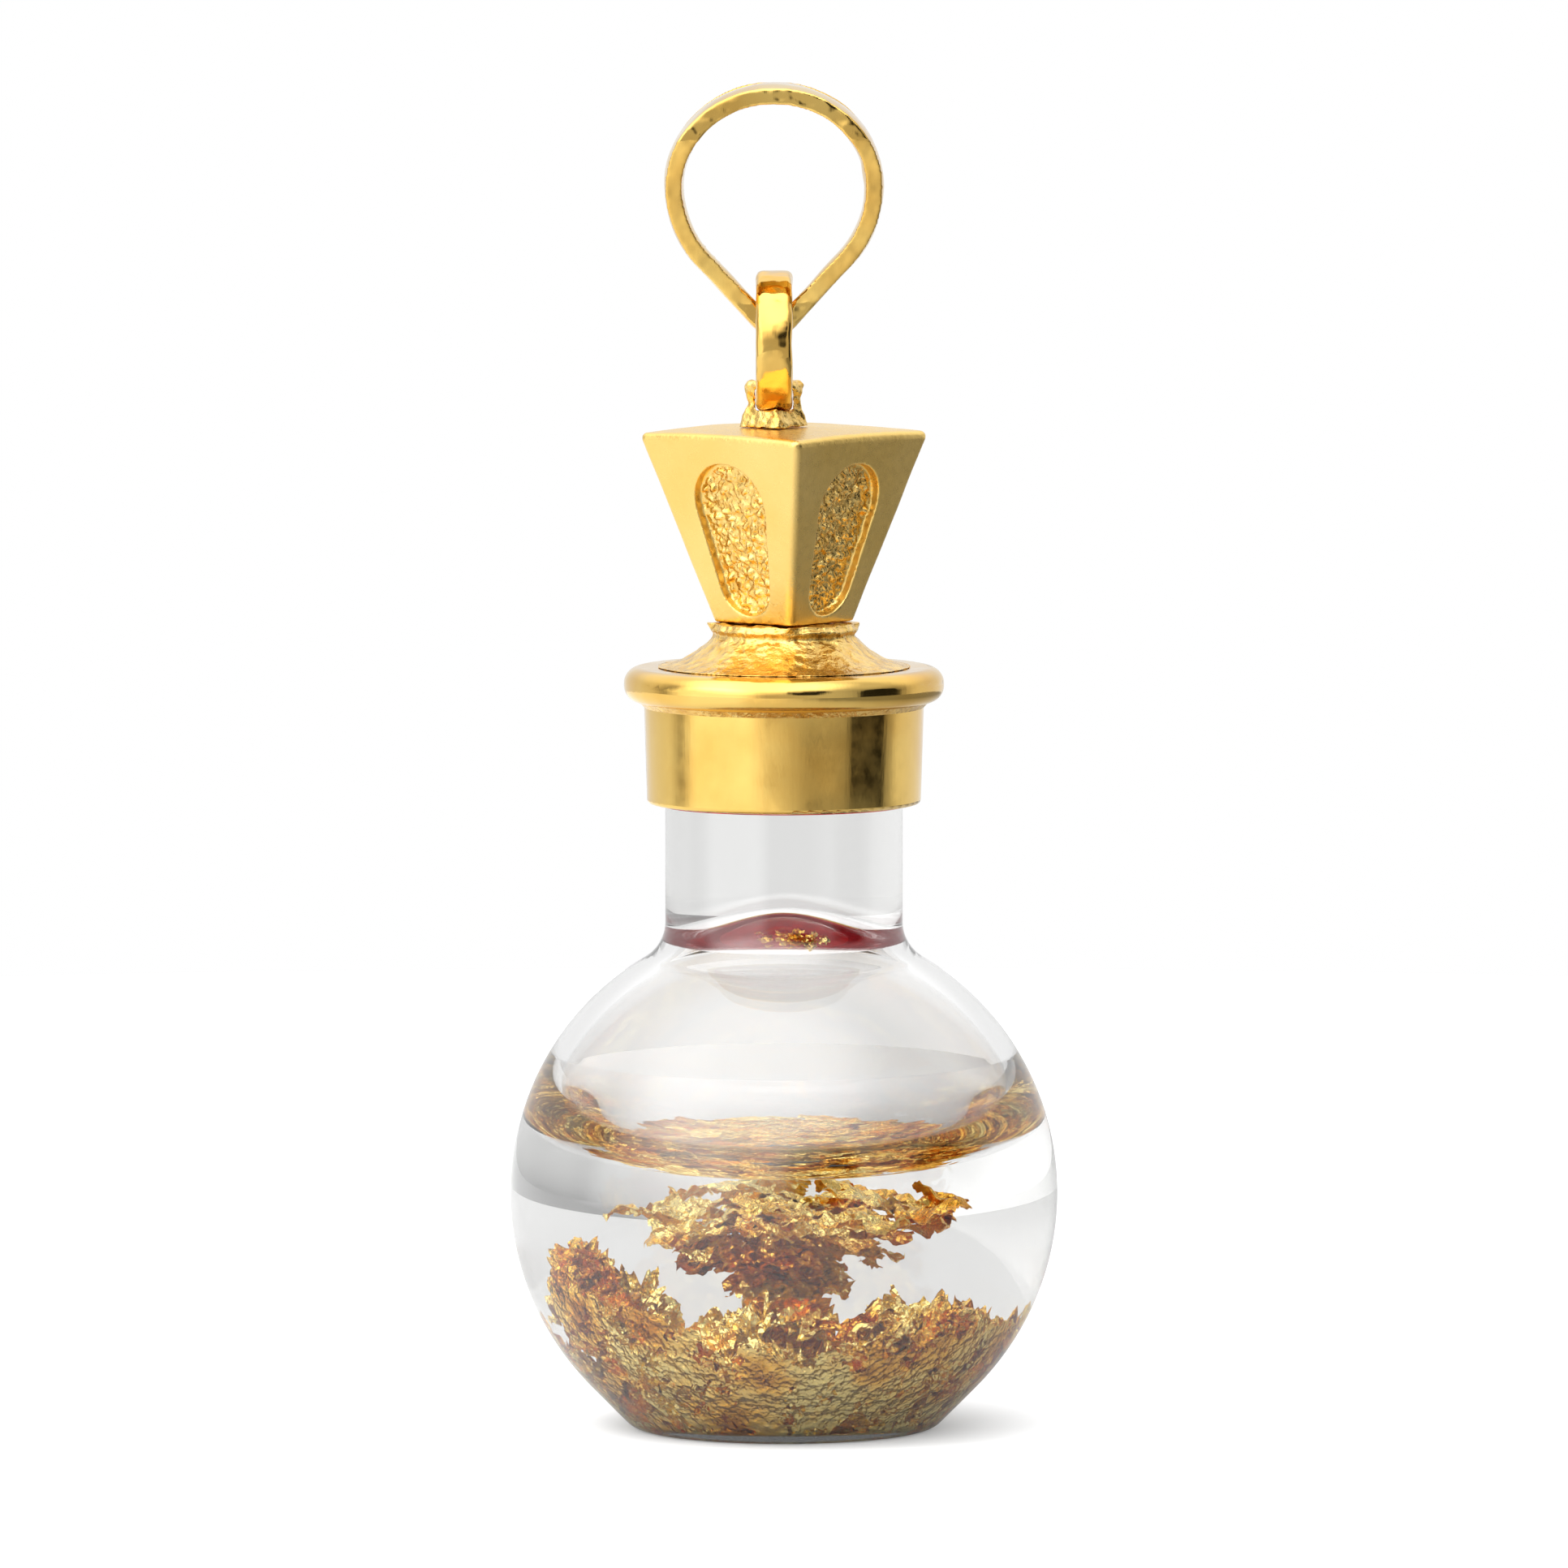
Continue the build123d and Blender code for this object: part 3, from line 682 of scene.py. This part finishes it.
BANK_LEVEL = 3.0  # flakes above this height belong to the banks
STEM_CLEARANCE = 1.3  # the drifting leaf's stem stays inside this radius
CAP_CLEARANCE = 3.7  # and its cap inside this one
CAP_UNDERSIDE = (2.2, 0.6)  # its depth below the cloud's top, beside the stem and at its edge
CLOUD_GAP = 0.05
WALL_FLAKES = 330
HEAP_FLAKES = 230
FOOT_FLAKES = 26
TRIES = 20  # draws of a height before a wall flake is given up


def clear_of_cloud(points):
    """Presses down points that would be in the way of the drifting leaf as it turns."""
    reach = np.hypot(points[:, 0], points[:, 1])
    depth = np.interp(reach, (STEM_CLEARANCE, CAP_CLEARANCE), CAP_UNDERSIDE)
    ceiling = CLOUD_TOP - depth
    ceiling[reach < STEM_CLEARANCE] = CLOUD_FOOT - CLOUD_GAP
    ceiling[reach > CAP_CLEARANCE] = NECK_TOP
    points[:, 2] = np.minimum(points[:, 2], ceiling)
    return points


def bed_flakes():
    """Leaf lining the wall, lying on the foot and heaped up on top."""
    draw = np.random.default_rng(11)
    flakes, banks = [], []

    def add_flake(centre, normal, size, crumple):
        points, triangles = flake_patch(draw, size, crumple)
        placed = clear_of_cloud(inside_glass(turned(points, normal, draw.uniform(0, SPIN), centre)))
        (banks if centre[2] > BANK_LEVEL else flakes).append((placed, triangles))

    for _ in range(WALL_FLAKES):
        angle = draw.uniform(0, 2 * math.pi)
        for _ in range(TRIES):
            height = draw.uniform(0.75, 5.2)
            reach = float(wall_radius(height)) - draw.uniform(0.08, 0.8)
            x, y = reach * math.cos(angle), reach * math.sin(angle)
            if height < bed_height(x, y) - 0.2:
                break
        else:
            continue
        outward = (math.cos(angle), math.sin(angle), -0.6 if height < 2.5 else -0.15)
        add_flake((x, y, height), heading_normal(draw, outward, 0.6), draw.uniform(0.6, 1.3), 1.7)
    for _ in range(HEAP_FLAKES):
        reach, angle = 5.9 * math.sqrt(draw.uniform(0, 1)), draw.uniform(0, 2 * math.pi)
        x, y = reach * math.cos(angle), reach * math.sin(angle)
        height = bed_height(x, y) - draw.uniform(0.0, 0.6)
        normal = heading_normal(draw, heap_normal(x, y), 0.5)
        add_flake((x, y, height), normal, draw.uniform(0.6, 1.35), 1.6)
    for _ in range(FOOT_FLAKES):
        reach, angle = 3.6 * math.sqrt(draw.uniform(0, 1)), draw.uniform(0, 2 * math.pi)
        centre = (reach * math.cos(angle), reach * math.sin(angle), FOOT_THICKNESS + 0.12)
        add_flake(centre, heading_normal(draw, (0, 0, 1), 0.06), draw.uniform(0.7, 1.3), 0.5)
    return flakes, banks


CLOUD_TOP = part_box("leaf_cloud")[1].z / MM
CLOUD_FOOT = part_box("leaf_cloud")[0].z / MM
CLOUD_REACH = 3.62
CAP_CREST = 0.12  # the highest flakes' centres lie this far below the cloud's top
CAP_HEIGHT = 1.55  # and the lowest ones of the cap this much lower
CAP_NARROWING = 0.66
CAP_FLAKES = 170
STEM_FLAKES = 60
STEM_REACH = 1.25
TIP_FLAKES = 30
TIP_CLUSTER = 22  # so many lie close together, and the others to their right
TIP_FRONT = -2.2


def within(points, reach):
    """Draws in points that lie farther than reach from the axis."""
    far = np.hypot(points[:, 0], points[:, 1])
    points[:, :2] *= np.minimum(1.0, reach / np.maximum(far, 1e-9))[:, None]
    return points


def cloud_flakes():
    """The drifting leaf: flat tattered tiers that narrow down into a stem."""
    draw = np.random.default_rng(23)
    flakes = []
    for _ in range(CAP_FLAKES):
        share = draw.uniform(0, 1) ** 1.25
        height = CLOUD_TOP - CAP_CREST - CAP_HEIGHT * share
        rim = CLOUD_REACH * (1 - CAP_NARROWING * share)
        size = draw.uniform(0.55, 1.15) * (1 - 0.35 * share)
        angle = draw.uniform(0, 2 * math.pi)
        reach = max(0.0, rim * math.sqrt(draw.uniform(0.0, 1)) - 0.45 * size)
        centre = (reach * math.cos(angle), reach * math.sin(angle), height)
        lean = 0.12 + 0.3 * share
        normal = heading_normal(draw, (lean * math.cos(angle), lean * math.sin(angle), 1), 0.13)
        points, triangles = flake_patch(draw, size, 0.6)
        flakes.append((within(turned(points, normal, draw.uniform(0, SPIN), centre), rim), triangles))
    for _ in range(STEM_FLAKES):
        height = draw.uniform(CLOUD_FOOT + 0.1, CLOUD_TOP - 1.2)
        angle = draw.uniform(0, 2 * math.pi)
        reach = 0.25 + 0.5 * (height - CLOUD_FOOT) / (CLOUD_TOP - CLOUD_FOOT)
        centre = (reach * math.cos(angle), reach * math.sin(angle), height)
        normal = heading_normal(draw, (math.cos(angle), math.sin(angle), -0.3), 0.3)
        points, triangles = flake_patch(draw, draw.uniform(0.35, 0.7), 1.1)
        flakes.append((within(turned(points, normal, draw.uniform(0, SPIN), centre), STEM_REACH), triangles))
    return flakes


def tip_flakes():
    """Small flakes caught on the front of the dome at the bottom of the neck."""
    draw = np.random.default_rng(5)
    # The dome's outline, near enough for flakes to rest on.
    dome = bezier((0, DOME_TOP), (DOME_FLAT, DOME_TOP), (2.45, 12.7), (2.7, DOME_EDGE), 24)
    flakes = []
    for step in range(TIP_FLAKES):
        x = draw.normal(0.12, 0.24) if step < TIP_CLUSTER else draw.uniform(0.3, 1.0)
        y = TIP_FRONT + draw.uniform(-0.1, 0.2)
        height = float(np.interp(math.hypot(x, y), [p[0] for p in dome], [p[1] for p in dome]))
        normal = heading_normal(draw, (0, -0.6, 1), 0.4)
        points, triangles = flake_patch(draw, draw.uniform(0.14, 0.3), 0.7)
        centre = (x, y, height + draw.uniform(-0.06, 0.1))
        flakes.append((turned(points, normal, draw.uniform(0, SPIN), centre), triangles))
    return flakes


bed, banks = bed_flakes()
leaf_mass("leaf_bed_flakes", bed, "leaf_bed")
leaf_mass("leaf_bank_flakes", banks, "leaf_banks")
leaf_mass("leaf_cloud_flakes", cloud_flakes(), "leaf_cloud", "drifting_leaf")
leaf_mass("leaf_tip_flakes", tip_flakes(), "leaf_tip")


# ---- floor, light and camera -------------------------------------------------------------------------


FLOOR_RADIUS = 0.12
FLOOR_CORNERS = 96
FLOOR_COLOUR = 0.8
FLOOR_PAINTED_REFLECTION_SPAN = (-0.02, 0.04)  # the floor's painted reflection darkens between these places along X
# Socket, its value seen directly, and its painted reflection's values on the left and on the right.
FLOOR_TONES = (("Base Color", FLOOR_COLOUR, 0.56, 0.12), ("Emission Color", 0.22, 0.12, 0.0))


def painted_floor_reflection(material, shader):
    """A pale floor with a painted reflection: its mirror image in polished metal is painted darker on the
    right, as beside a grey card.
    """
    nodes, links = material.node_tree.nodes, material.node_tree.links
    place = nodes.new("ShaderNodeTexCoord")
    split = nodes.new("ShaderNodeSeparateXYZ")
    links.new(place.outputs["Object"], split.inputs["Vector"])
    path = nodes.new("ShaderNodeLightPath")
    for target, plain, left, right in FLOOR_TONES:
        side = nodes.new("ShaderNodeMapRange")
        side.inputs["From Min"].default_value = FLOOR_PAINTED_REFLECTION_SPAN[0]
        side.inputs["From Max"].default_value = FLOOR_PAINTED_REFLECTION_SPAN[1]
        side.inputs["To Min"].default_value = left
        side.inputs["To Max"].default_value = right
        links.new(split.outputs["X"], side.inputs["Value"])
        pick = nodes.new("ShaderNodeMix")
        pick.data_type = "FLOAT"
        pick.inputs[2].default_value = plain
        # painted reflection: rays mirrored off the metal see the darker floor values
        links.new(path.outputs["Is Glossy Ray"], pick.inputs[0])
        links.new(side.outputs["Result"], pick.inputs[3])
        links.new(pick.outputs[0], shader.inputs[target])


def studio_floor():
    """A round floor under the object."""
    mesh = bpy.data.meshes.new("studio_floor")
    rim = []
    for corner in range(FLOOR_CORNERS):
        angle = 2 * math.pi * corner / FLOOR_CORNERS
        rim.append((FLOOR_RADIUS * math.cos(angle), FLOOR_RADIUS * math.sin(angle), 0))
    mesh.from_pydata(rim, [], [tuple(range(FLOOR_CORNERS))])
    floor = bpy.data.objects.new("studio_floor", mesh)
    scene.collection.objects.link(floor)
    look, shader = new_material("studio_floor_look", grey(FLOOR_COLOUR), 0.8)
    shader.inputs["Emission Strength"].default_value = 1.0
    painted_floor_reflection(look, shader)
    add_bump(look, shader, object_noise(look, 300, 2), 0.00001, 0.2)
    mesh.materials.append(look)


def studio_world():
    """Plain white where it is seen directly; soft boxes in a darker room for the light and mirror images."""
    world = bpy.data.worlds.new("studio")
    scene.world = world
    world.use_nodes = True
    nodes, links = world.node_tree.nodes, world.node_tree.links
    background = nodes["Background"]
    place = nodes.new("ShaderNodeTexCoord")
    total = None

    def math_node(kind, first, second):
        node = nodes.new("ShaderNodeMath")
        node.operation = kind
        for socket, value in zip(node.inputs, (first, second)):
            if isinstance(value, float):
                socket.default_value = value
            else:
                links.new(value, socket)
        return node.outputs[0]

    for direction, outer, inner, strength in SOFT_BOXES:
        dot = nodes.new("ShaderNodeVectorMath")
        dot.operation = "DOT_PRODUCT"
        links.new(place.outputs["Generated"], dot.inputs[0])
        dot.inputs[1].default_value = Vector(direction).normalized()
        fade = nodes.new("ShaderNodeMapRange")
        fade.interpolation_type = "SMOOTHSTEP"
        fade.inputs["From Min"].default_value = outer
        fade.inputs["From Max"].default_value = inner
        fade.inputs["To Max"].default_value = strength
        links.new(dot.outputs["Value"], fade.inputs["Value"])
        total = fade.outputs["Result"] if total is None else math_node("ADD", total, fade.outputs["Result"])
    total = math_node("MAXIMUM", math_node("ADD", total, ROOM_LIGHT), DARKEST)
    path = nodes.new("ShaderNodeLightPath")
    pick = nodes.new("ShaderNodeMix")
    pick.data_type = "FLOAT"
    links.new(path.outputs["Is Camera Ray"], pick.inputs[0])
    links.new(total, pick.inputs[2])
    pick.inputs[3].default_value = BACKDROP
    links.new(pick.outputs[0], background.inputs["Strength"])
    background.inputs["Color"].default_value = (1, 1, 1, 1)


ROOM_LIGHT = 0.34
DARKEST = 0.02
BACKDROP = 1.0
# Soft boxes, and dark flags where the strength is negative: direction, cosines of the angles
# from it at which each starts and is full, and strength.
SOFT_BOXES = (
    ((0, 1, 0.0), 0.0, 0.4, 0.58),
    ((0, 0, 1), 0.2, 0.65, 0.45),
    ((-0.25, -0.5, 0.83), 0.5, 0.95, 2.2),
    ((0.28, -0.92, 0.27), 0.94, 0.985, -0.9),
    ((-0.82, -0.57, 0.0), 0.72, 0.93, 1.25),
    ((0.2, -0.98, 0.0), 0.6, 0.95, 0.32),
    ((0.96, -0.28, 0.0), 0.92, 0.985, -0.62),
)
studio_floor()
studio_world()

AIM_HEIGHT = (cad_box[0].z + cad_box[1].z) / 2


def soft_light(name, place, side, power):
    """A square area light aimed at the middle of the object."""
    light = bpy.data.lights.new(name, "AREA")
    light.energy = power
    light.size = side
    lamp = bpy.data.objects.new(name, light)
    scene.collection.objects.link(lamp)
    lamp.location = place
    lamp.visible_glossy = False
    lamp.visible_transmission = False
    aim = Vector((0, 0, AIM_HEIGHT)) - Vector(place)
    lamp.rotation_euler = aim.to_track_quat("-Z", "Y").to_euler()


soft_light("key_light", (-0.16, -0.16, 0.28), 0.12, 0.4)
soft_light("fill_light", (0.24, -0.1, 0.16), 0.16, 0.1)

CAMERA_DISTANCE = 0.45
CAMERA_ELEVATION = math.radians(5.0)
VIEW_HEIGHT = 0.0400  # height of the view at the object
VIEW_CENTRE = 0.0165  # height that the camera looks at
SENSOR = 36.0
camera_data = bpy.data.cameras.new("camera")
camera_data.sensor_width = SENSOR
camera_data.lens = SENSOR * CAMERA_DISTANCE / VIEW_HEIGHT
camera = bpy.data.objects.new("camera", camera_data)
scene.collection.objects.link(camera)
camera.location = (
    0,
    -CAMERA_DISTANCE * math.cos(CAMERA_ELEVATION),
    VIEW_CENTRE + CAMERA_DISTANCE * math.sin(CAMERA_ELEVATION),
)
camera_aim = Vector((0, 0, VIEW_CENTRE)) - camera.location
camera.rotation_euler = camera_aim.to_track_quat("-Z", "Y").to_euler()
scene.camera = camera

scene.view_settings.view_transform = "Standard"
scene.cycles.max_bounces = 26
scene.cycles.transmission_bounces = 22
scene.cycles.glossy_bounces = 8
scene.cycles.transparent_max_bounces = 12
scene.cycles.sample_clamp_indirect = 6.0
scene.cycles.use_denoising = True
